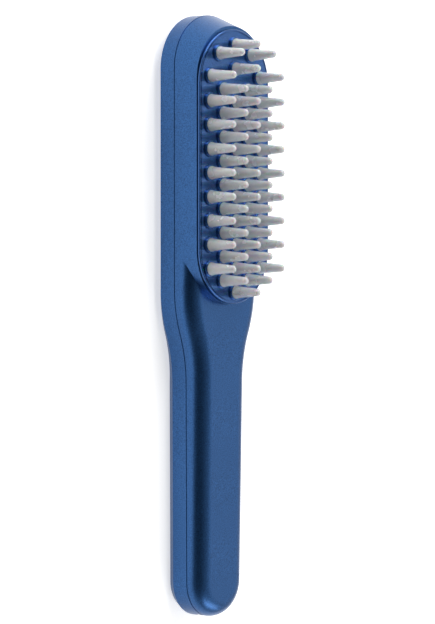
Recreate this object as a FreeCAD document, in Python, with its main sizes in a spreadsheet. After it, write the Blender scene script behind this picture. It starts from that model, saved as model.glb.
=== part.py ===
import FreeCAD, Part
import math
import os
import re

from FreeCAD import Rotation, Vector

# Scalp massager brush, lying on its back with its pins up.
# X runs along the length with the head towards -X, Y across, Z up; Z = 0 is the handle's back face.

DIMENSIONS = [
    # name, value in mm, what it is
    ("length", 230.0, "overall length"),
    ("head_radius", 20.9, "radius of the head's round ends and half its width"),
    ("grip_half", 14.1, "half width of the handle at its neck end"),
    ("tail_radius", 13.75, "radius of the handle's round end"),
    ("neck_start", -11.5, "where the head's sides start to draw in"),
    ("neck_end", 25.0, "where the neck has become the handle"),
    ("seam_height", 10.0, "height of the seam between the shells"),
    ("head_depth", 6.9, "depth of the rear shell at the head"),
    ("bevel_width", 2.0, "how far the handle's back bevel goes inwards"),
    ("front_depth", 7.7, "height of the handle above the seam at the neck"),
    ("front_fall", 1.3, "how much lower the front is at the tail"),
    ("front_round", 6.2, "rounding of the handle's front edges"),
    ("rim_depth", 11.0, "height of the head's rim above the seam"),
    ("top_slant", 4.5, "how far the head's end leans back between seam and rim"),
    ("wall", 1.8, "wall of both shells"),
    ("seam_groove", 0.22, "depth of the seam's groove, and its height on each shell"),
    ("tongue_rise", 0.9, "height of the rear shell's tongue above the seam"),
    ("tongue_wall", 0.8, "thickness of that tongue"),
    ("slip", 0.1, "clearance of pieces that slide into each other"),
    ("ring_near", -25.6, "centre of the round end by the neck, of head and plate"),
    ("ring_back", 0.9, "how far the ring's top end stays back from the rim's"),
    ("ring_inset", 0.4, "how far the ring's side stays back from the rim's"),
    ("ring_lip", 0.65, "width of the bezel ring's lip"),
    ("ring_web", 0.35, "thickness of the bezel ring's web under the plate"),
    ("skirt_wall", 0.7, "thickness of the bezel ring's skirt"),
    ("skirt_drop", 3.4, "how far the skirt reaches below the rim"),
    ("gasket_height", 0.35, "height of the gasket under the bezel ring"),
    ("gasket_inset", 0.25, "how far the gasket stays back under the ring's edge"),
    ("plate_gap", 0.4, "open groove between bezel ring and plate"),
    ("plate_edge", 0.5, "thickness of the plate's edge"),
    ("plate_body", 1.3, "how far the plate's thick middle goes below its edge"),
    ("collar_wide", 6.4, "diameter of a pin's collar"),
    ("collar_rise", 0.8, "height of a collar above the plate"),
    ("collar_round", 0.35, "rounding of a collar's brim"),
    ("pin_foot", 5.0, "diameter of a pin where it leaves its collar"),
    ("flare_start", 0.3, "height above the collar where a pin's foot starts to draw in"),
    ("flare_end", 2.2, "height above the collar where it has become the pin's root"),
    ("pin_root", 4.25, "diameter of a pin above its flared foot"),
    ("pin_end", 2.9, "diameter of a pin just below its round tip"),
    ("pin_length", 11.6, "length of a pin above its collar"),
    ("pin_flange", 5.7, "diameter of the flange that holds a pin under the plate"),
    ("flange_height", 0.9, "height of that flange"),
    ("pin_bore", 2.4, "bore of a pin at its root"),
    ("bore_end", 1.5, "bore of a pin at its closed end"),
    ("tip_solid", 2.1, "length of the solid tip beyond the bore"),
    ("row_pitch", 9.03, "distance between rows of pins"),
    ("pin_inset", 4.55, "distance of the outer pins from the shell's inner wall"),
    ("crown_turn", 40.0, "angle between the five pins round the top end"),
    ("crown_centre", 5.4, "how far the pin within those five lies beyond the round end's centre"),
    ("board_thick", 1.0, "thickness of the circuit boards"),
    ("board_ease", 0.6, "clearance round the LED board and under it"),
    ("retainer_high", 1.0, "thickness of the sheet that holds the pins from below"),
    ("screw_head", 3.4, "diameter of the small screws' heads"),
    ("screw_core", 1.7, "diameter of the small screws' shanks"),
    ("screw_reach", 4.0, "length of the longer screws' shanks"),
    ("screw_top", 1.1, "height of the screws' heads"),
    ("slot_wide", 0.5, "width of the slot in a screw's head"),
    ("slot_deep", 0.6, "depth of that slot"),
    ("boss_wide", 4.6, "diameter of the screw bosses"),
    ("motor_wide", 6.0, "diameter of the vibration motor"),
    ("motor_long", 16.0, "length of the vibration motor"),
    ("motor_near", -44.0, "the motor's face by the neck"),
    ("boot_wall", 0.6, "wall of the motor's rubber boot"),
    ("boot_inset", 2.0, "how far the can stands out of its boot at both ends"),
    ("shaft_wide", 1.0, "diameter of the motor's shaft"),
    ("shaft_out", 6.0, "how far the shaft stands out of the can"),
    ("shaft_in", 3.5, "how far the shaft reaches into the can"),
    ("weight_end", 0.5, "length of bare shaft beyond the weight"),
    ("weight_radius", 2.6, "radius of the eccentric weight"),
    ("weight_long", 4.5, "length of the eccentric weight"),
    ("battery_start", 50.0, "the battery's end by the neck"),
    ("battery_long", 46.0, "length of the battery"),
    ("battery_wide", 19.0, "width of the battery"),
    ("clamp_long", 8.0, "length of the motor clamp"),
    ("clamp_side", 1.6, "thickness of the clamp's arch beside the boot"),
    ("clamp_roof", 1.2, "thickness of the clamp's arch over the boot"),
    ("clamp_wide", 19.2, "width of the motor clamp over its feet"),
    ("clamp_foot", 1.4, "height of the motor clamp's feet"),
    ("led_size", 1.6, "side of an LED under a pin"),
    ("led_high", 0.6, "height of an LED"),
    ("battery_high", 8.0, "height of the battery"),
    ("foam_high", 1.0, "height of the battery's foam bed"),
    ("control_start", -2.0, "the control board's end by the head"),
    ("control_end", 47.0, "the control board's end by the battery"),
    ("control_wide", 18.0, "width of the control board"),
    ("control_height", 7.0, "underside of the control board"),
    ("control_screw_end", 3.5, "distance of the control board's screws from its ends"),
    ("control_screw_out", 6.3, "distance of those screws from the middle"),
    ("switch_side", 6.0, "side of the tact switch"),
    ("switch_high", 3.0, "height of the tact switch"),
    ("plunger_wide", 3.0, "diameter of the switch's plunger and of the button's stem"),
    ("plunger_out", 1.0, "how far the plunger stands out of the switch"),
    ("plunger_in", 0.5, "how far the plunger reaches into the switch"),
    ("button_place", 33.0, "place of the power button along the handle"),
    ("button_wide", 8.6, "diameter of the power button"),
    ("flange_out", 1.2, "how far the button's flange stands out inside the shell"),
    ("flange_thick", 0.6, "thickness of that flange"),
    ("button_sunk", 0.7, "how far the button lies below the handle's back"),
    ("button_travel", 0.5, "how far the button goes in"),
    ("pipe_place", 43.0, "place of the light pipe along the handle"),
    ("pipe_wide", 2.0, "diameter of the light pipe"),
    ("pipe_brim", 0.7, "how far the light pipe's brim stands out"),
    ("brim_thick", 0.8, "thickness of that brim"),
    ("lamp_long", 1.6, "length of the indicator lamp"),
    ("lamp_wide", 1.2, "width of the indicator lamp"),
    ("charge_inset", 6.0, "distance of the charge board from the tail's end"),
    ("charge_long", 11.0, "length of the charge board"),
    ("charge_wide", 12.0, "width of the charge board"),
    ("charge_screw_end", 3.0, "distance of the charge board's screws from its end"),
    ("charge_screw_out", 3.6, "distance of those screws from the middle"),
    ("charge_height", 3.6, "underside of the charge board"),
    ("socket_wide", 8.9, "width of the charging socket"),
    ("socket_high", 3.2, "height of the charging socket"),
    ("socket_long", 7.6, "length of the charging socket"),
    ("socket_inset", 1.6, "how far the socket's mouth lies inside the tail's end"),
    ("socket_round", 1.3, "rounding of the socket's outer corners"),
    ("socket_back", 0.6, "thickness of the closed back of the socket"),
    ("tongue_wide", 6.6, "width of the tongue in the socket"),
    ("tongue_high", 0.7, "thickness of that tongue"),
    ("tongue_short", 0.4, "how far that tongue ends inside the mouth"),
    ("socket_wall", 0.35, "sheet of the charging socket"),
    ("lead_wide", 0.9, "diameter of the insulated leads"),
    ("battery_lead_out", 2.0, "distance of the battery's and the socket's leads from the middle"),
    ("motor_lead_out", 0.6, "distance of the nearer motor lead from the middle"),
    ("motor_lead_apart", 1.4, "distance between the motor leads"),
    ("lead_overlap", 3.0, "length of the motor leads on the control board"),
    ("cell_round", 2.0, "rounding of the cell's long edges"),
    ("cell_foam_edge", 1.0, "how far the foam stays back under the cell"),
    ("ribbon_thick", 0.3, "thickness of the ribbon cable"),
    ("ribbon_wide", 4.0, "width of the ribbon cable"),
    ("ribbon_side", 0.4, "distance of the ribbon cable from the middle"),
    ("ribbon_seat", 4.0, "length of the ribbon that lies flat on each board"),
    ("ribbon_back", 1.0, "how far the ribbon starts beyond the plate's centre by the neck"),
    ("ribbon_reach", 9.0, "how far the ribbon reaches over the control board"),
]

doc = FreeCAD.newDocument("scalp_massager_brush")
sheet = doc.addObject("Spreadsheet::Sheet", "dims")
for row, (name, value, note) in enumerate(DIMENSIONS, start=1):
    sheet.set("A%d" % row, name)
    sheet.set("B%d" % row, str(value))
    sheet.set("C%d" % row, note)
    sheet.setAlias("B%d" % row, name)
doc.recompute()

NAMES = [name for name, value, note in DIMENSIONS]
ALIAS = re.compile(r"\b(%s)\b" % "|".join(NAMES))
parts = []


def dim(name):
    """The number that the sheet holds under this name."""
    return float(sheet.get(name))


def bind(obj, prop, formula):
    """Tie a property to a formula of sheet names."""
    obj.setExpression(prop, ALIAS.sub(r"dims.\1", formula))


def keep(obj, label):
    """Name a finished sub-part; its label names its file."""
    obj.Label = label
    parts.append(obj)
    return obj


def place(obj, spot):
    """Tie an object's place to three formulas."""
    for axis, formula in zip("xyz", spot):
        bind(obj, "Placement.Base." + axis, formula)


def box(start, size, name="box"):
    """A box between formulas for its lowest corner and its size."""
    obj = doc.addObject("Part::Box", name)
    for prop, formula in zip(("Length", "Width", "Height"), size):
        bind(obj, prop, formula)
    place(obj, start)
    return obj


def rod(start, wide, long, along="Z", name="rod"):
    """A round bar from start along an axis."""
    obj = doc.addObject("Part::Cylinder", name)
    bind(obj, "Radius", "(%s) / 2" % wide)
    bind(obj, "Height", long)
    if along == "X":
        obj.Placement.Rotation = Rotation(Vector(0, 1, 0), 90)
    if along == "Y":
        obj.Placement.Rotation = Rotation(Vector(1, 0, 0), -90)
    place(obj, start)
    return obj


def join(pieces, name="join"):
    """One solid of several that meet."""
    obj = doc.addObject("Part::MultiFuse", name)
    obj.Shapes = pieces
    obj.Refine = True
    return obj


def cut(base, tools, name="cut"):
    """What is left of base once the tools are taken away."""
    tool = tools[0]
    if len(tools) > 1:
        tool = doc.addObject("Part::Compound", name + "_tools")
        tool.Links = tools
    obj = doc.addObject("Part::Cut", name)
    obj.Base = base
    obj.Tool = tool
    return obj


def group(pieces, name="group"):
    """Several separate solids in one node."""
    obj = doc.addObject("Part::Compound", name)
    obj.Links = pieces
    return obj


def mirror_y(x, y):
    """A place and its twin across the middle."""
    return [(x, y), (x, -y)]


def made(name, shape):
    """A sub-part whose shape comes from the outlines below."""
    obj = doc.addObject("Part::Feature", name)
    obj.Shape = shape
    return obj


def line(a, b):
    """A straight edge."""
    return Part.LineSegment(a, b).toShape()


def arc(a, middle, b):
    """A round edge through three points."""
    return Part.Arc(a, middle, b).toShape()


def solid_loft(wires):
    """A solid through the wires with straight walls, its faces outwards."""
    shape = Part.makeLoft(wires, True, True)
    solid = Part.makeSolid(shape.Shells[0])
    if solid.Volume < 0:
        solid.reverse()
    return solid


def oval(near, far, radius, z):
    """The head's outline: two round ends joined by straight sides."""
    side = Vector(0, radius, 0)
    start = Vector(near, 0, z)
    stop = Vector(far, 0, z)
    return Part.Wire([
        line(start + side, stop + side),
        arc(stop + side, stop - Vector(radius, 0, 0), stop - side),
        line(stop - side, start - side),
        arc(start - side, start + Vector(radius, 0, 0), start + side),
    ])


def oval_block(near, far, radius, low, high):
    """A flat block with the head's outline."""
    return Part.Face(oval(near, far, radius, low)).extrude(Vector(0, 0, high - low))


def handle_wire(inset, start, z):
    """Outline of neck and handle, drawn in by inset; it opens flat at start."""
    head = dim("head_radius")
    grip = dim("grip_half")
    tail = dim("tail_radius")
    step = head - grip
    run = dim("neck_end") - dim("neck_start")
    # two equal arcs make the S of the neck
    bend = (run * run + step * step) / (4 * step)
    shoulder = Vector(dim("neck_start"), head - bend, z)
    hollow = Vector(dim("neck_end"), grip + bend, z)
    tail_centre = Vector(dim("length") / 2 - tail, 0, z)
    across = Vector(0, 1, 0)
    turn = (hollow - shoulder).normalize()
    # the straight side touches the neck's hollow and the round end
    apart = hollow - tail_centre
    tilt = math.atan2(apart.y, apart.x) - math.acos((bend + tail) / apart.Length)
    out = Vector(math.cos(tilt), math.sin(tilt), 0)
    a = Vector(start, head - inset, z)
    b = shoulder + across * (bend - inset)
    c = shoulder + (across + turn).normalize() * (bend - inset)
    d = shoulder + turn * (bend - inset)
    e = hollow - (turn + out).normalize() * (bend + inset)
    f = hollow - out * (bend + inset)
    end = tail_centre + out * (tail - inset)
    tip = tail_centre + Vector(tail - inset, 0, 0)

    def other(point):
        return Vector(point.x, -point.y, point.z)

    return Part.Wire([
        line(a, b),
        arc(b, c, d),
        arc(d, e, f),
        line(f, end),
        arc(end, tip, other(end)),
        line(other(end), other(f)),
        arc(other(f), other(e), other(d)),
        arc(other(d), other(c), other(b)),
        line(other(b), other(a)),
        line(other(a), a),
    ])


def handle_block(inset, start, low, high):
    """A flat block with the outline of neck and handle."""
    return Part.Face(handle_wire(inset, start, low)).extrude(Vector(0, 0, high - low))


def head_block(inset, low, high):
    """The head above the seam, its top end leaning back towards the rim."""
    lean = dim("top_slant") / dim("rim_depth")
    radius = dim("head_radius") - inset
    far = radius + inset - dim("length") / 2
    ends = [oval(dim("ring_near"), far + lean * (z - dim("seam_height")), radius, z) for z in (low, high)]
    return solid_loft(ends)


def upper_edges(shape, keep_out):
    """The edges round the top of a block, without its flat opening."""
    found = []
    for edge in shape.Edges:
        faces = shape.ancestorsOfType(edge, Part.Face)
        tops = [f for f in faces if f.normalAt(0, 0).z > 0.9]
        sides = [f for f in faces if abs(f.normalAt(0, 0).z) < 0.1]
        middle = edge.CenterOfMass
        if tops and sides and middle.x > keep_out + 0.01:
            found.append(edge)
    return found


def handle_front(inset, low, drop, rounding):
    """The handle above the seam: a flat front that falls a little to the tail, with round edges."""
    start = dim("ring_near")
    reach = dim("length")
    half = reach / 2
    slope = dim("front_fall") / (half - dim("neck_end"))
    at_start = dim("seam_height") + dim("front_depth") - drop + slope * (dim("neck_end") - start)
    at_reach = at_start - slope * (reach - start)
    above = at_start + 1
    block = handle_block(inset, start, low, above)
    wedge = Part.Face(Part.makePolygon([
        Vector(start, -half, at_start), Vector(reach, -half, at_reach), Vector(reach, -half, above + 1),
        Vector(start, -half, above + 1), Vector(start, -half, at_start),
    ])).extrude(Vector(0, reach, 0))
    block = block.cut(wedge).Solids[0]
    return block.makeFillet(rounding, upper_edges(block, start))


def ring_around(near, far, outer, inner, low, high):
    """A flat oval ring."""
    return oval_block(near, far, outer, low, high).cut(oval_block(near, far, inner, low - 1, high + 1))


SEAM = dim("seam_height")
RIM = SEAM + dim("rim_depth")
TAIL = dim("length") / 2
NEAR = dim("ring_near")
FAR = dim("head_radius") - TAIL + dim("top_slant") + dim("ring_back")
WALL = dim("wall")
SLIP = dim("slip")
HEAD_BACK = SEAM - dim("head_depth")
INNER = dim("head_radius") - WALL
PIN_OUT = INNER - dim("pin_inset")
NECK_PIN = NEAR + INNER - 2 * SLIP - dim("pin_flange") / 2
MOTOR_AXIS = HEAD_BACK + WALL + SLIP + dim("boot_wall") + dim("motor_wide") / 2
BOARD_LOW = MOTOR_AXIS + dim("motor_wide") / 2 + dim("boot_wall") + dim("clamp_roof") + dim("board_ease")


# ---------------------------------------------------------------- front shell
# Moulded upper half: a handle with round edges and the head's rim, open where the plate goes.

def seam_block(inset, low, high):
    """A flat block with the whole outline at the seam."""
    far = dim("head_radius") - TAIL
    head = oval_block(NEAR, far, dim("head_radius") - inset, low, high)
    return head.fuse(handle_block(inset, NEAR, low, high))


def seam_slot(low, high):
    """What the fine groove round the seam takes away."""
    return seam_block(-1, low, high).cut(seam_block(dim("seam_groove"), low - 1, high + 1))


def front_shell():
    head = head_block(0, SEAM, RIM)
    handle = handle_front(0, SEAM, 0, dim("front_round"))
    outer = head.fuse(handle).removeSplitter().Solids[0]
    inner_head = head_block(WALL, SEAM - 1, RIM + 1)
    inner_handle = handle_front(WALL, SEAM - 1, WALL, dim("front_round") - WALL)
    groove = dim("seam_groove")
    shell = outer.cut(inner_head).cut(inner_handle).cut(seam_slot(SEAM - 1, SEAM + groove))
    return shell.Solids[0]


keep(made("front", front_shell()), "front_shell")


# ---------------------------------------------------------------- rear shell
# Moulded lower half: flat back with bevelled edges on the handle, a shallower back on the head.

def rear_outer(inset):
    """The rear shell's outer form, or its hollow when drawn in by the wall."""
    far = dim("head_radius") - TAIL
    low = HEAD_BACK + inset
    top = SEAM if inset == 0 else SEAM + 1
    head = oval_block(NEAR, far, dim("head_radius") - inset, low, top)
    handle = handle_block(inset, NEAR, low, top)
    bevel = dim("bevel_width")
    bottom = solid_loft([
        handle_wire(inset + bevel, NEAR, inset),
        handle_wire(inset, NEAR, HEAD_BACK + inset),
    ])
    # the deeper back starts as a ramp where the neck starts
    begin = NEAR - 1
    ramp = Part.Face(Part.makePolygon([
        Vector(begin, -TAIL, inset - 1), Vector(dim("neck_end"), -TAIL, inset - 1),
        Vector(dim("neck_end"), -TAIL, inset), Vector(dim("neck_start"), -TAIL, low),
        Vector(begin, -TAIL, low), Vector(begin, -TAIL, inset - 1),
    ])).extrude(Vector(0, 2 * TAIL, 0))
    bottom = bottom.cut(ramp)
    return head.fuse(handle).fuse(bottom).removeSplitter().Solids[0]


def boss(x, y, low, high):
    """A round post that a screw goes into."""
    return Part.makeCylinder(dim("boss_wide") / 2, high - low, Vector(x, y, low))


def screw_hole(x, y, high):
    """The pilot hole of a boss, as wide as the screw's shank."""
    reach = dim("screw_reach")
    return Part.makeCylinder(dim("screw_core") / 2, reach, Vector(x, y, high - reach))


def rear_shell():
    shell = rear_outer(0).cut(rear_outer(WALL)).cut(seam_slot(SEAM - dim("seam_groove"), SEAM + 1))
    tongue_in = WALL + SLIP + dim("tongue_wall")
    foot_low = SEAM - dim("tongue_wall")
    top = SEAM + dim("tongue_rise")
    foot = seam_block(WALL - SLIP, foot_low, SEAM).cut(seam_block(tongue_in, foot_low - 1, SEAM + 1))
    lip = head_block(WALL + SLIP, SEAM, top).fuse(handle_block(WALL + SLIP, NEAR, SEAM, top))
    lip = lip.cut(head_block(tongue_in, SEAM - 1, top + 1))
    lip = lip.cut(handle_block(tongue_in, NEAR - 1, SEAM - 1, top + 1))
    added = [foot, lip]
    holes = []
    for x, y in LED_SCREWS:
        added.append(boss(x, y, HEAD_BACK + WALL / 2, BOARD_LOW))
        holes.append(screw_hole(x, y, BOARD_LOW))
    for x, y in CONTROL_SCREWS:
        ramp = HEAD_BACK * max(0, dim("neck_end") - x) / (dim("neck_end") - dim("neck_start"))
        added.append(boss(x, y, ramp + WALL / 2, dim("control_height")))
        holes.append(screw_hole(x, y, dim("control_height")))
    for x, y in CHARGE_SCREWS:
        added.append(boss(x, y, WALL / 2, dim("charge_height")))
        deep = dim("charge_height") - WALL
        holes.append(Part.makeCylinder(dim("screw_core") / 2, deep, Vector(x, y, WALL)))
    foot_wide = (dim("clamp_wide") - CLAMP_BODY) / 2
    for x, y in CLAMP_SCREWS:
        low = HEAD_BACK + WALL / 2
        corner = Vector(x - dim("clamp_long") / 2, y - foot_wide / 2, low)
        added.append(Part.makeBox(dim("clamp_long"), foot_wide, MOTOR_AXIS - low, corner))
        hole = MOTOR_AXIS - HEAD_BACK - WALL
        holes.append(Part.makeCylinder(dim("screw_core") / 2, hole, Vector(x, y, HEAD_BACK + WALL)))
    button_hole = dim("button_wide") / 2 + SLIP
    holes.append(Part.makeCylinder(button_hole, WALL + 2, Vector(dim("button_place"), 0, -1)))
    holes.append(Part.makeCylinder(dim("pipe_wide") / 2 + SLIP, WALL + 2, Vector(dim("pipe_place"), 0, -1)))
    ease = 1.5 * SLIP
    port = Vector(SOCKET_BACK, -dim("socket_wide") / 2 - ease, SOCKET_LOW - ease)
    holes.append(Part.makeBox(TAIL, dim("socket_wide") + 2 * ease, dim("socket_high") + 2 * ease, port))
    return shell.multiFuse(added).cut(holes).removeSplitter().Solids[0]


CLAMP_BODY = dim("motor_wide") + 2 * (dim("boot_wall") + dim("clamp_side"))
CLAMP_MIDDLE = dim("motor_near") - dim("motor_long") / 2
CLAMP_SCREWS = mirror_y(CLAMP_MIDDLE, (dim("clamp_wide") + CLAMP_BODY) / 4)
# the LED board's screws stand halfway between outer pins
CROWN_HALF = math.radians(1.5 * dim("crown_turn"))
LED_SCREWS = mirror_y(FAR - PIN_OUT * math.cos(CROWN_HALF), PIN_OUT * math.sin(CROWN_HALF))
LED_SCREWS += mirror_y(NECK_PIN - 1.5 * dim("row_pitch"), PIN_OUT)
CONTROL_SCREWS = mirror_y(dim("control_start") + dim("control_screw_end"), dim("control_screw_out"))
CONTROL_SCREWS += mirror_y(dim("control_end") - dim("control_screw_end"), dim("control_screw_out"))
CHARGE_START = TAIL - dim("charge_inset") - dim("charge_long")
CHARGE_SCREWS = mirror_y(CHARGE_START + dim("charge_screw_end"), dim("charge_screw_out"))
SOCKET_BACK = TAIL - dim("socket_inset") - dim("socket_long")
SOCKET_LOW = dim("charge_height") + dim("board_thick")

keep(made("rear", rear_shell()), "rear_shell")


# ---------------------------------------------------------------- plate, ring and gasket
# The plate drops into a thin raised ring, which a soft gasket seals to the head's rim.

GASKET_TOP = RIM + dim("gasket_height")
PLATE_SEAT = GASKET_TOP + dim("ring_web")
PLATE_TOP = PLATE_SEAT + dim("plate_edge")
PLATE_LOW = PLATE_SEAT - dim("plate_body")
COLLAR_TOP = PLATE_TOP + dim("collar_rise")
RING_OUTER = dim("head_radius") - dim("ring_inset")
LIP_INNER = RING_OUTER - dim("ring_lip")
PLATE_RADIUS = LIP_INNER - dim("plate_gap")
SKIRT_OUTER = INNER - SLIP
SKIRT_INNER = SKIRT_OUTER - dim("skirt_wall")
FLANGE_LOW = PLATE_LOW - dim("flange_height")


def pin_places():
    """The middle of each pin: staggered rows of three and two, one at the foot, six round the top."""
    pitch = dim("row_pitch")
    rows = int((NECK_PIN - FAR) / pitch - 0.5)
    spots = [(NECK_PIN, 0.0), (FAR - dim("crown_centre"), 0.0)]
    # flanges beyond the round end's centre stay inside the shell
    widest = INNER - (SLIP + dim("pin_flange")) / 2
    for row in range(1, rows + 1):
        x = NECK_PIN - row * pitch
        room = math.sqrt(widest ** 2 - max(0.0, x - NEAR) ** 2)
        spots += [(x, 0.0)] + mirror_y(x, min(PIN_OUT, room))
    for row in range(rows + 1):
        spots += mirror_y(NECK_PIN - (row + 0.5) * pitch, PIN_OUT / 2)
    for step in (-2, -1, 0, 1, 2):
        turn = math.radians(step * dim("crown_turn"))
        spots.append((FAR - PIN_OUT * math.cos(turn), PIN_OUT * math.sin(turn)))
    return spots


PINS = pin_places()


def turned(outline):
    """A round solid from its half outline: straight runs between (radius, height) points."""
    points = [Vector(radius, 0, height) for radius, height in outline]
    face = Part.Face(Part.makePolygon(points + points[:1]))
    return face.revolve(Vector(0, 0, 0), Vector(0, 0, 1), 360)


def at_pins(shape):
    """A copy of a shape at each pin."""
    copies = []
    for x, y in PINS:
        piece = shape.copy()
        piece.translate(Vector(x, y, 0))
        copies.append(piece)
    return copies


def bezel_ring():
    low = RIM - dim("skirt_drop")
    skirt = ring_around(NEAR, FAR, SKIRT_OUTER, SKIRT_INNER, low, PLATE_SEAT)
    web = ring_around(NEAR, FAR, RING_OUTER, SKIRT_INNER, GASKET_TOP, PLATE_SEAT)
    lip = ring_around(NEAR, FAR, RING_OUTER, LIP_INNER, GASKET_TOP, PLATE_TOP)
    whole = skirt.multiFuse([web, lip]).removeSplitter().Solids[0]
    outer = [e for e in whole.Edges if abs(e.CenterOfMass.z - PLATE_TOP) < 0.01
             and abs(e.BoundBox.YMax) > RING_OUTER - 0.01]
    whole = whole.makeFillet(dim("ring_lip") * 0.6, outer)
    # slots let the flanges of the pins nearest to the neck through
    relief = Part.makeCylinder(dim("pin_flange") / 2 + 2 * SLIP, PLATE_SEAT - low + 1, Vector(0, 0, low - 1))
    return whole.cut(at_pins(relief)).Solids[0]


def bristle_plate():
    edge = oval_block(NEAR, FAR, PLATE_RADIUS, PLATE_SEAT, PLATE_TOP)
    body = oval_block(NEAR, FAR, SKIRT_INNER - SLIP, PLATE_LOW, PLATE_SEAT)
    collar = Part.makeCylinder(dim("collar_wide") / 2, COLLAR_TOP - PLATE_SEAT, Vector(0, 0, PLATE_SEAT))
    brim = [e for e in collar.Edges if abs(e.CenterOfMass.z - COLLAR_TOP) < 0.01]
    collar = collar.makeFillet(dim("collar_round"), brim)
    bore_radius = (dim("pin_foot") + SLIP) / 2
    bore = Part.makeCylinder(bore_radius, COLLAR_TOP - PLATE_LOW + 2, Vector(0, 0, PLATE_LOW - 1))
    plate = edge.fuse(body).multiFuse(at_pins(collar)).cut(at_pins(bore))
    return plate.removeSplitter().Solids[0]


def pin():
    """A hollow soft pin with a round closed tip and a flange under the plate."""
    foot = dim("pin_foot") / 2
    root = dim("pin_root") / 2
    end = dim("pin_end") / 2
    tip = COLLAR_TOP + dim("pin_length")
    middle = (COLLAR_TOP + (dim("flare_start") + dim("flare_end")) / 2, root + (foot - root) * 0.3)
    sides = [(foot, PLATE_LOW), (foot, COLLAR_TOP + dim("flare_start")), (middle[1], middle[0]),
             (root, COLLAR_TOP + dim("flare_end")), (end, tip - end)]
    dome = [(end * math.cos(math.radians(a)), tip - end + end * math.sin(math.radians(a)))
            for a in range(15, 90, 15)]
    solid = turned([(0, FLANGE_LOW), (dim("pin_flange") / 2, FLANGE_LOW), (dim("pin_flange") / 2, PLATE_LOW)]
                   + sides + dome + [(0, tip)])
    closed = tip - dim("tip_solid")
    bore = Part.makeCone(dim("pin_bore") / 2, dim("bore_end") / 2, closed - FLANGE_LOW + 1,
                         Vector(0, 0, FLANGE_LOW - 1))
    return solid.cut(bore)


gasket_outer = RING_OUTER - dim("gasket_inset")
gasket = ring_around(NEAR, FAR, gasket_outer, SKIRT_OUTER + SLIP / 2, RIM, GASKET_TOP)
keep(made("gasket", gasket), "plate_gasket")
keep(made("ring", bezel_ring()), "bezel_ring")
keep(made("plate", bristle_plate()), "bristle_plate")
keep(made("pins", Part.makeCompound(at_pins(pin()))), "bristles")
sheet_low = FLANGE_LOW - dim("retainer_high")
keep(made("retainer", oval_block(NEAR, FAR, SKIRT_INNER - SLIP, sheet_low, FLANGE_LOW)), "pin_retainer")


# ---------------------------------------------------------------- fasteners
# Small screws: a flat round head on what they hold and a shank in the boss below.

def screws(spots, seat, reach):
    """The screws of one board or clamp, their heads on the seat."""
    wide = dim("screw_head")
    slot = dim("slot_wide")
    bottom = seat + dim("screw_top") - dim("slot_deep")
    made_ones = []
    for x, y in spots:
        head = Part.makeCylinder(wide / 2, dim("screw_top"), Vector(x, y, seat))
        shank = Part.makeCylinder(dim("screw_core") / 2, reach, Vector(x, y, seat - reach))
        across = Part.makeBox(0.7 * wide, slot, 1, Vector(x - 0.35 * wide, y - slot / 2, bottom))
        made_ones.append(head.fuse(shank).cut(across).removeSplitter().Solids[0])
    return Part.makeCompound(made_ones)


def board(blank, spots):
    """A circuit board with a round hole for each of its screws."""
    holes = []
    box_low = blank.BoundBox.ZMin
    for x, y in spots:
        holes.append(Part.makeCylinder(dim("screw_core") / 2 + SLIP, 3 * dim("board_thick"),
                                       Vector(x, y, box_low - dim("board_thick"))))
    return blank.cut(holes).Solids[0]


LED_TOP = BOARD_LOW + dim("board_thick")
CONTROL_TOP = dim("control_height") + dim("board_thick")
CHARGE_TOP = dim("charge_height") + dim("board_thick")
THICK = dim("board_thick")

# ---------------------------------------------------------------- light in the head
led_blank = oval_block(NEAR, FAR, INNER - dim("board_ease"), BOARD_LOW, LED_TOP)
keep(made("led_board", board(led_blank, LED_SCREWS)), "led_board")
led = Part.makeBox(dim("led_size"), dim("led_size"), dim("led_high"),
                   Vector(-dim("led_size") / 2, -dim("led_size") / 2, LED_TOP))
keep(made("leds", Part.makeCompound(at_pins(led))), "leds")
keep(made("led_screws", screws(LED_SCREWS, LED_TOP, dim("screw_reach"))), "led_board_screws")

# ---------------------------------------------------------------- vibration motor
# A small can in a rubber sleeve, clamped to two posts; its shaft swings an off-centre weight.
axis = "(seam_height - head_depth + wall + slip + boot_wall + motor_wide / 2)"
can_far = "(motor_near - motor_long)"
can = rod((can_far, "0", axis), "motor_wide", "motor_long", "X", "can")
can_bore = rod((can_far, "0", axis), "shaft_wide + slip", "shaft_in + slip", "X", "can_bore")
keep(cut(can, [can_bore], "motor"), "motor_can")

boot_wide = "(motor_wide + 2 * boot_wall)"
sleeve = rod((can_far + " + boot_inset", "0", axis), boot_wide, "motor_long - 2 * boot_inset", "X", "sleeve")
sleeve_bore = rod((can_far, "0", axis), "motor_wide", "motor_long", "X", "sleeve_bore")
keep(cut(sleeve, [sleeve_bore], "boot"), "motor_boot")

shaft_end = can_far + " - shaft_out"
shaft = rod((shaft_end, "0", axis), "shaft_wide", "shaft_out + shaft_in", "X", "shaft")
keep(shaft, "motor_shaft")
disc = rod((shaft_end + " + weight_end", "0", axis), "2 * weight_radius", "weight_long", "X", "disc")
above = box((shaft_end, "-weight_radius - 1", axis + " + shaft_wide"),
            ("weight_end + weight_long + 1", "2 * weight_radius + 2", "weight_radius"), "above")
eye = rod((shaft_end, "0", axis), "shaft_wide", "weight_end + weight_long + 1", "X", "eye")
keep(cut(disc, [above, eye], "weight"), "eccentric_weight")

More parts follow.
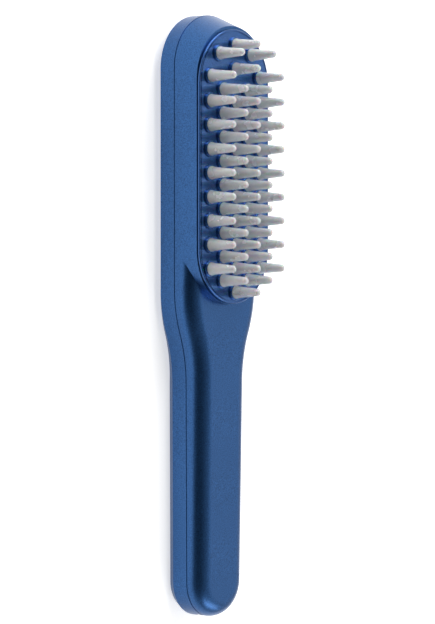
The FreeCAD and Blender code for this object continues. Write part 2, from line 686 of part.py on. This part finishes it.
clamp_middle = "(motor_near - motor_long / 2)"
clamp_far = clamp_middle + " - clamp_long / 2"
arch_wide = "(motor_wide + 2 * boot_wall + 2 * clamp_side)"
feet = box((clamp_far, "-clamp_wide / 2", axis), ("clamp_long", "clamp_wide", "clamp_foot"), "feet")
arch = box((clamp_far, "-%s / 2" % arch_wide, axis),
           ("clamp_long", arch_wide, "motor_wide / 2 + boot_wall + clamp_roof"), "arch")
clamp_tools = [rod((clamp_far + " - 1", "0", axis), boot_wide, "clamp_long + 2", "X", "saddle")]
for number, side in enumerate(("", "-")):
    spot = (clamp_middle, "%s(clamp_wide + %s) / 4" % (side, arch_wide), axis + " - 1")
    hole = rod(spot, "screw_core + 2 * slip", "clamp_foot + 2", "Z", "clamp_hole%d" % number)
    clamp_tools.append(hole)
keep(cut(join([feet, arch], "clamp_body"), clamp_tools, "clamp"), "motor_clamp")
clamp_screws = screws(CLAMP_SCREWS, MOTOR_AXIS + dim("clamp_foot"), dim("screw_reach"))
keep(made("clamp_screws", clamp_screws), "motor_clamp_screws")

# ---------------------------------------------------------------- control board and its button
control_blank = Part.makeBox(dim("control_end") - dim("control_start"), dim("control_wide"), THICK,
                             Vector(dim("control_start"), -dim("control_wide") / 2, dim("control_height")))
keep(made("control_board", board(control_blank, CONTROL_SCREWS)), "control_board")
keep(made("control_screws", screws(CONTROL_SCREWS, CONTROL_TOP, dim("screw_reach"))), "control_board_screws")
# name, place along and across the board, then length, width and height
CHIPS = [
    ("processor", 14, -3, 6, 6, 1.2),
    ("driver", 24, -6, 5, 4, 1.1),
    ("coil", 24, 1, 4, 5, 1.6),
    ("charger", 34, -2, 3, 3, 0.9),
]
chips = []
for name, along, across, long, wide, high in CHIPS:
    start = ("control_start + %s" % along, str(across), "control_height + board_thick")
    chips.append(box(start, (str(long), str(wide), str(high)), name))
keep(group(chips, "chips"), "control_chips")

switch_low = "control_height - switch_high"
plunger_low = switch_low + " - plunger_out"
switch = box(("button_place - switch_side / 2", "-switch_side / 2", switch_low),
             ("switch_side", "switch_side", "switch_high"), "switch_box")
switch_bore = rod(("button_place", "0", plunger_low), "plunger_wide + slip",
                  "plunger_out + plunger_in + button_travel + 2 * slip", "Z", "switch_bore")
keep(cut(switch, [switch_bore], "switch"), "tact_switch")
plunger = rod(("button_place", "0", plunger_low), "plunger_wide", "plunger_out + plunger_in", "Z", "plunger")
keep(plunger, "button_plunger")

cap = rod(("button_place", "0", "button_sunk"), "button_wide", "wall + slip - button_sunk", "Z", "cap")
flange_wide = "button_wide + 2 * flange_out"
flange = rod(("button_place", "0", "wall + slip / 2"), flange_wide, "flange_thick", "Z", "flange")
stem = rod(("button_place", "0", "wall + slip"), "plunger_wide", plunger_low + " - wall - slip", "Z", "stem")
keep(join([cap, flange, stem], "button"), "power_button")

lamp = box(("pipe_place - lamp_long / 2", "-lamp_wide / 2", "control_height - led_high"),
           ("lamp_long", "lamp_wide", "led_high"), "signal")
keep(lamp, "indicator_led")
pipe = rod(("pipe_place", "0", "slip"), "pipe_wide", "control_height - led_high - slip", "Z", "pipe_rod")
brim = rod(("pipe_place", "0", "wall"), "pipe_wide + 2 * pipe_brim", "brim_thick", "Z", "pipe_brim_ring")
keep(join([pipe, brim], "pipe"), "light_pipe")

# ---------------------------------------------------------------- battery
foam = box(("battery_start", "-battery_wide / 2 + cell_foam_edge", "wall"),
           ("battery_long", "battery_wide - 2 * cell_foam_edge", "foam_high"), "foam")
keep(foam, "battery_foam")
cell = Part.makeBox(dim("battery_long"), dim("battery_wide"), dim("battery_high"),
                    Vector(dim("battery_start"), -dim("battery_wide") / 2, WALL + dim("foam_high")))
long_edges = [e for e in cell.Edges if abs(e.tangentAt(e.FirstParameter).x) > 0.9]
keep(made("cell", cell.makeFillet(dim("cell_round"), long_edges)), "battery_cell")

# ---------------------------------------------------------------- charging socket
charge_corner = Vector(CHARGE_START, -dim("charge_wide") / 2, dim("charge_height"))
charge_blank = Part.makeBox(dim("charge_long"), dim("charge_wide"), THICK, charge_corner)
keep(made("charge_board", board(charge_blank, CHARGE_SCREWS)), "charge_board")
keep(made("charge_screws", screws(CHARGE_SCREWS, CHARGE_TOP, dim("charge_height") + THICK - WALL)),
     "charge_board_screws")


def usb_shell():
    """A folded steel sleeve with round corners, closed at the back and open at the tail."""
    wide = dim("socket_wide")
    high = dim("socket_high")
    sheet_wall = dim("socket_wall")
    outer = Part.makeBox(dim("socket_long"), wide, high, Vector(SOCKET_BACK, -wide / 2, SOCKET_LOW))
    corner = Vector(SOCKET_BACK + dim("socket_back"), -wide / 2 + sheet_wall, SOCKET_LOW + sheet_wall)
    inner = Part.makeBox(dim("socket_long"), wide - 2 * sheet_wall, high - 2 * sheet_wall, corner)
    blocks = []
    for block, radius in ((outer, dim("socket_round")), (inner, dim("socket_round") - sheet_wall)):
        along = [e for e in block.Edges if abs(e.tangentAt(e.FirstParameter).x) > 0.9]
        blocks.append(block.makeFillet(radius, along))
    return blocks[0].cut(blocks[1])


keep(made("socket", usb_shell()), "usb_shell")
tongue_start = "length / 2 - socket_inset - socket_long + socket_back"
tongue_low = "charge_height + board_thick + socket_high / 2 - tongue_high / 2"
tongue = box((tongue_start, "-tongue_wide / 2", tongue_low),
             ("socket_long - socket_back - tongue_short", "tongue_wide", "tongue_high"), "tongue")
keep(tongue, "usb_tongue")

# ---------------------------------------------------------------- leads held inside
def lead(name, start, y, z, long):
    """A straight insulated lead along the handle."""
    return rod((start, y, z), "lead_wide", long, "X", name)


battery_leads = []
charge_leads = []
battery_end = "battery_start + battery_long"
charge_gap = "length / 2 - charge_inset - charge_long - battery_start - battery_long"
control_level = "control_height + board_thick / 2"
charge_level = "charge_height + board_thick / 2"
for side, y in (("left", "-battery_lead_out"), ("right", "battery_lead_out")):
    battery_leads.append(lead("battery_lead_" + side, "control_end", y, control_level,
                              "battery_start - control_end"))
    charge_leads.append(lead("charge_lead_" + side, battery_end, y, charge_level, charge_gap))
motor_leads = []
motor_level = "control_height + board_thick + lead_wide / 2"
for side, y in (("near", "-motor_lead_out"), ("far", "-motor_lead_out - motor_lead_apart")):
    motor_leads.append(lead("motor_lead_" + side, "motor_near", y, motor_level,
                            "control_start + lead_overlap - motor_near"))
keep(group(battery_leads, "battery_wires"), "battery_leads")
keep(group(motor_leads, "motor_wires"), "motor_leads")
keep(group(charge_leads, "charge_wires"), "charge_leads")

film = dim("ribbon_thick")
seat = dim("ribbon_seat")
ribbon_start = NEAR - dim("ribbon_back")
ribbon_end = dim("control_start") + dim("ribbon_reach")
ribbon_line = [
    (ribbon_start, BOARD_LOW), (ribbon_start, BOARD_LOW - film), (ribbon_start + seat, BOARD_LOW - film),
    (ribbon_end - seat, CONTROL_TOP), (ribbon_end, CONTROL_TOP), (ribbon_end, CONTROL_TOP + film),
    (ribbon_end - seat, CONTROL_TOP + film), (ribbon_start + seat, BOARD_LOW), (ribbon_start, BOARD_LOW),
]
ribbon_face = Part.Face(Part.makePolygon([Vector(x, dim("ribbon_side"), z) for x, z in ribbon_line]))
keep(made("ribbon", ribbon_face.extrude(Vector(0, dim("ribbon_wide"), 0))), "ribbon_cable")

# ---------------------------------------------------------------- check and write
doc.recompute()
for obj in doc.Objects:
    if "Invalid" in obj.State or "Error" in obj.State:
        raise RuntimeError("%s did not build: %s" % (obj.Name, obj.State))
os.makedirs("parts", exist_ok=True)
for obj in parts:
    shape = obj.Shape
    if shape.isNull() or not shape.isValid() or not shape.Solids:
        raise RuntimeError("%s has no sound solid" % obj.Label)
    shape.exportStep(os.path.join("parts", obj.Label + ".step"))
    print("%-22s %3d solids %10.1f mm3" % (obj.Label, len(shape.Solids), shape.Volume))
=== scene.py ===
import math

import bpy
from mathutils import Matrix, Vector

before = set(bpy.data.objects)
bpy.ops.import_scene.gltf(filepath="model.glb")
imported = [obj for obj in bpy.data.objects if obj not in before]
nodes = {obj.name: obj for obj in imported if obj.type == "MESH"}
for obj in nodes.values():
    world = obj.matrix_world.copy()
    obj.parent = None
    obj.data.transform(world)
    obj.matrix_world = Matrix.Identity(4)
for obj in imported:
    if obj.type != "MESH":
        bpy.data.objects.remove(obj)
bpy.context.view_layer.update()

# ---------------------------------------------------------------- finishes
NOISE_LOW = 0.3          # this much of a noise's range is spread over the whole range of a finish
NOISE_HIGH = 0.7
GRAIN_DETAIL = 3.0
CLOUD_DETAIL = 2.0
RELIEF_HEIGHT = 0.0002   # m, the grain's height at a bump of 1
LEAST_ROUGH = 0.02


def shader_of(material):
    """The main shader of a material."""
    return material.node_tree.nodes["Principled BSDF"]


def noise(tree, place, scale, detail):
    """A noise that is fixed to the piece."""
    node = tree.nodes.new("ShaderNodeTexNoise")
    node.inputs["Scale"].default_value = scale
    node.inputs["Detail"].default_value = detail
    tree.links.new(place.outputs["Object"], node.inputs["Vector"])
    return node


def finish(name, colour, rough, metal=0.0, grain=900.0, tone=0.12, sheen=0.05, bump=0.02,
           cloud=30.0):
    """A surface with a fine grain in its colour and height and a slow change in its gloss."""
    material = bpy.data.materials.new(name)
    material.use_nodes = True
    tree = material.node_tree
    shader = shader_of(material)
    place = tree.nodes.new("ShaderNodeTexCoord")
    fine = noise(tree, place, grain, GRAIN_DETAIL)
    slow = noise(tree, place, cloud, CLOUD_DETAIL)
    shade = tree.nodes.new("ShaderNodeValToRGB")
    low, high = shade.color_ramp.elements
    low.position = NOISE_LOW
    high.position = NOISE_HIGH
    low.color = [c * (1 - tone) for c in colour] + [1]
    high.color = [min(1, c * (1 + tone)) for c in colour] + [1]
    tree.links.new(fine.outputs["Fac"], shade.inputs["Fac"])
    tree.links.new(shade.outputs["Color"], shader.inputs["Base Color"])
    gloss = tree.nodes.new("ShaderNodeMapRange")
    gloss.inputs["From Min"].default_value = NOISE_LOW
    gloss.inputs["From Max"].default_value = NOISE_HIGH
    gloss.inputs["To Min"].default_value = max(LEAST_ROUGH, rough - sheen)
    gloss.inputs["To Max"].default_value = min(1, rough + sheen)
    tree.links.new(slow.outputs["Fac"], gloss.inputs["Value"])
    tree.links.new(gloss.outputs["Result"], shader.inputs["Roughness"])
    relief = tree.nodes.new("ShaderNodeBump")
    relief.inputs["Strength"].default_value = bump
    relief.inputs["Distance"].default_value = RELIEF_HEIGHT
    tree.links.new(fine.outputs["Fac"], relief.inputs["Height"])
    tree.links.new(relief.outputs["Normal"], shader.inputs["Normal"])
    shader.inputs["Metallic"].default_value = metal
    return material


def adjust(material, settings):
    """Set more of a finish's inputs, by their names."""
    for name, value in settings.items():
        shader_of(material).inputs[name].default_value = value


def coat(material, names):
    """Give CAD nodes a finish."""
    for name in names:
        node = nodes[name]
        node.data.materials.clear()
        node.data.materials.append(material)


# ---------------------------------------------------------------- casing
# Two moulded plastic shells sprayed with a satin metallic blue that has fine flakes in it.
casing_paint = finish("casing_paint", (0.026, 0.098, 0.27), 0.33, metal=0.85, grain=2600.0,
                      tone=0.35, sheen=0.04, bump=0.12)
adjust(casing_paint, {"Coat Weight": 0.12, "Coat Roughness": 0.25})
coat(casing_paint, ["front_shell", "rear_shell"])

# ---------------------------------------------------------------- ring, gasket and plate
# The ring and the plate are nearly the same blue with a harder gloss; the gasket is black.
plate_gloss = finish("plate_gloss", (0.026, 0.10, 0.30), 0.22, metal=0.8, grain=2600.0,
                     tone=0.2, sheen=0.03, bump=0.04)
adjust(plate_gloss, {"Coat Weight": 0.3})
coat(plate_gloss, ["bristle_plate", "bezel_ring"])
coat(finish("gasket_rubber", (0.012, 0.013, 0.016), 0.6, grain=1500.0, bump=0.2),
     ["plate_gasket"])

# ---------------------------------------------------------------- pins
# Hollow pins of frosted silicone, each in one piece with the flange that holds it.
frost = finish("frosted_silicone", (0.93, 0.95, 0.97), 0.25, grain=1200.0, tone=0.03,
               sheen=0.05, bump=0.05, cloud=200.0)
adjust(frost, {
    "Transmission Weight": 0.3,
    "IOR": 1.41,
    "Coat Weight": 0.5,
    "Coat Roughness": 0.12,
    "Subsurface Weight": 0.4,
    "Subsurface Scale": 0.002,
})
coat(frost, ["bristles"])

# ---------------------------------------------------------------- boards, lamps and motor
# Green boards, small lamps and a clear sheet over them; a steel motor with a brass weight, in a
# rubber boot.
board_lacquer = finish("board_lacquer", (0.02, 0.16, 0.07), 0.35, grain=700.0, tone=0.2)
coat(board_lacquer, ["led_board", "control_board", "charge_board"])
coat(finish("lamp_resin", (0.85, 0.82, 0.6), 0.25, grain=900.0, tone=0.05),
     ["leds", "indicator_led"])
clear_sheet = finish("clear_sheet", (0.9, 0.93, 0.95), 0.15, grain=500.0, tone=0.02)
adjust(clear_sheet, {"Transmission Weight": 0.8})
coat(clear_sheet, ["pin_retainer", "light_pipe"])
steel = finish("plated_steel", (0.55, 0.56, 0.58), 0.3, metal=1.0, grain=1800.0, tone=0.08)
coat(steel, ["led_board_screws", "motor_can", "motor_shaft", "motor_clamp_screws",
             "control_board_screws", "charge_board_screws", "usb_shell"])
coat(finish("brass", (0.6, 0.42, 0.16), 0.3, metal=1.0, grain=1500.0, tone=0.1),
     ["eccentric_weight"])
coat(finish("sleeve_rubber", (0.05, 0.05, 0.055), 0.7, grain=1300.0, tone=0.2, bump=0.2),
     ["motor_boot"])
black_moulding = finish("black_moulding", (0.015, 0.015, 0.017), 0.5, grain=1500.0, tone=0.2,
                        bump=0.1)
coat(black_moulding, ["motor_clamp", "control_chips", "tact_switch", "button_plunger",
                      "usb_tongue"])

# ---------------------------------------------------------------- button, cell and leads
# The button is close to the casing's blue; the cell lies on grey foam, and thin leads join the
# boards.
button_gloss = finish("button_gloss", (0.03, 0.09, 0.24), 0.3, metal=0.5, grain=2600.0,
                      tone=0.25, bump=0.06)
coat(button_gloss, ["power_button"])
coat(finish("cell_film", (0.5, 0.52, 0.55), 0.35, metal=0.6, grain=900.0, tone=0.1),
     ["battery_cell"])
coat(finish("grey_foam", (0.12, 0.12, 0.13), 0.9, grain=1600.0, tone=0.4, bump=0.6),
     ["battery_foam"])
coat(finish("red_insulation", (0.35, 0.02, 0.02), 0.45, grain=1500.0),
     ["battery_leads", "motor_leads", "charge_leads"])
coat(finish("amber_film", (0.5, 0.22, 0.04), 0.3, grain=900.0), ["ribbon_cable"])

# ---------------------------------------------------------------- camera
# It stands on the -Y side and above, and looks nearly square to the brush's length.
MIDDLE = Vector((-0.0017, 0.00184, 0.0122))   # m, what the camera aims at
ALONG = -0.0369                               # m, how far it stands towards the head from there
DISTANCE = 1.15                               # m
TILT = math.radians(50.2)                     # from straight above towards -Y
SENSOR = 24.0                                 # mm
PICTURE_ROWS = 624
ROWS_PER_METRE = 2613.0                       # the picture's scale at DISTANCE
back = Vector((0, -math.sin(TILT), math.cos(TILT)))

camera_data = bpy.data.cameras.new("camera")
camera_data.sensor_fit = "VERTICAL"
camera_data.sensor_height = SENSOR
camera_data.lens = SENSOR * ROWS_PER_METRE * DISTANCE / PICTURE_ROWS
camera = bpy.data.objects.new("camera", camera_data)
bpy.context.collection.objects.link(camera)
camera.location = MIDDLE + Vector((ALONG, 0, 0)) + back * DISTANCE
aim = (camera.location - MIDDLE).normalized()
side = Vector((-1, 0, 0)).cross(aim).normalized()
turn = Matrix((side, aim.cross(side), aim)).transposed()
camera.rotation_euler = turn.to_euler()
bpy.context.scene.camera = camera

# ---------------------------------------------------------------- lamps
LAMP_AIM = Vector((0, 0, 0.01))
SOFTBOXES = [
    # name, place in m, size in m, power in W
    ("front_box", (-0.1, 0.95, 0.8), (1.5, 0.9), 2.4),
    ("top_box", (-1.1, 0.15, 0.8), (1.2, 0.5), 14.0),
    ("tail_box", (1.3, 0.4, 0.9), (1.2, 0.5), 8.0),
]

for lamp_name, spot, size, watts in SOFTBOXES:
    lamp_data = bpy.data.lights.new(lamp_name, "AREA")
    lamp_data.shape = "RECTANGLE"
    lamp_data.size, lamp_data.size_y = size
    lamp_data.energy = watts
    lamp = bpy.data.objects.new(lamp_name, lamp_data)
    lamp.location = spot
    lamp.rotation_euler = (Vector(spot) - LAMP_AIM).to_track_quat("Z", "Y").to_euler()
    bpy.context.collection.objects.link(lamp)

# ---------------------------------------------------------------- floor
# White, and glowing only where the camera sees it, directly, mirrored or through a clear piece.
FLOOR_GREY = 0.9
FLOOR_ROUGH = 0.9
FLOOR_GLOW = 0.62
FLOOR_SIZE = 8.0         # m
FLOOR_LEVEL = -0.0005    # m


def calculate(tree, operation, first, second):
    """A sum or product of a socket with another socket or with a number."""
    node = tree.nodes.new("ShaderNodeMath")
    node.operation = operation
    tree.links.new(first, node.inputs[0])
    if isinstance(second, float):
        node.inputs[1].default_value = second
    else:
        tree.links.new(second, node.inputs[1])
    return node


floor_material = bpy.data.materials.new("white_floor")
floor_material.use_nodes = True
adjust(floor_material, {
    "Base Color": (FLOOR_GREY, FLOOR_GREY, FLOOR_GREY, 1),
    "Roughness": FLOOR_ROUGH,
    "Emission Color": (1, 1, 1, 1),
})
floor_tree = floor_material.node_tree
rays = floor_tree.nodes.new("ShaderNodeLightPath")
mirrored = calculate(floor_tree, "ADD", rays.outputs["Is Glossy Ray"],
                     rays.outputs["Is Transmission Ray"])
seen = calculate(floor_tree, "ADD", rays.outputs["Is Camera Ray"], mirrored.outputs[0])
seen.use_clamp = True
glow = calculate(floor_tree, "MULTIPLY", seen.outputs[0], FLOOR_GLOW)
floor_tree.links.new(glow.outputs[0], shader_of(floor_material).inputs["Emission Strength"])
bpy.ops.mesh.primitive_plane_add(size=FLOOR_SIZE, location=(0, 0, FLOOR_LEVEL))
floor = bpy.context.object
floor.name = "floor"
floor.data.materials.append(floor_material)

# ---------------------------------------------------------------- room
# White where the camera sees it. Its light is darker round one fixed direction, the camera's.
ROOM_DARK = 0.03         # light in that direction
ROOM_LIT = 0.45          # light away from it
DARK_COSINE = 0.95       # cosine of the angle to that direction where the room is darkest
LIT_COSINE = 0.3         # and where it is fully lit

world = bpy.data.worlds.new("studio")
world.use_nodes = True
bpy.context.scene.world = world
world_tree = world.node_tree
backdrop = world_tree.nodes["Background"]
world_rays = world_tree.nodes.new("ShaderNodeLightPath")
shown = world_tree.nodes.new("ShaderNodeMix")
shown.data_type = "RGBA"
world_tree.links.new(world_rays.outputs["Is Camera Ray"], shown.inputs["Factor"])
shown.inputs["B"].default_value = (1, 1, 1, 1)
toward = world_tree.nodes.new("ShaderNodeVectorMath")
toward.operation = "DOT_PRODUCT"
toward.inputs[1].default_value = back
way = world_tree.nodes.new("ShaderNodeTexCoord")
world_tree.links.new(way.outputs["Generated"], toward.inputs[0])
room = world_tree.nodes.new("ShaderNodeMapRange")
room.inputs["From Min"].default_value = DARK_COSINE
room.inputs["From Max"].default_value = LIT_COSINE
room.inputs["To Min"].default_value = ROOM_DARK
room.inputs["To Max"].default_value = ROOM_LIT
world_tree.links.new(toward.outputs["Value"], room.inputs["Value"])
world_tree.links.new(room.outputs["Result"], shown.inputs["A"])
world_tree.links.new(shown.outputs["Result"], backdrop.inputs["Color"])
bpy.context.scene.view_settings.view_transform = "Standard"
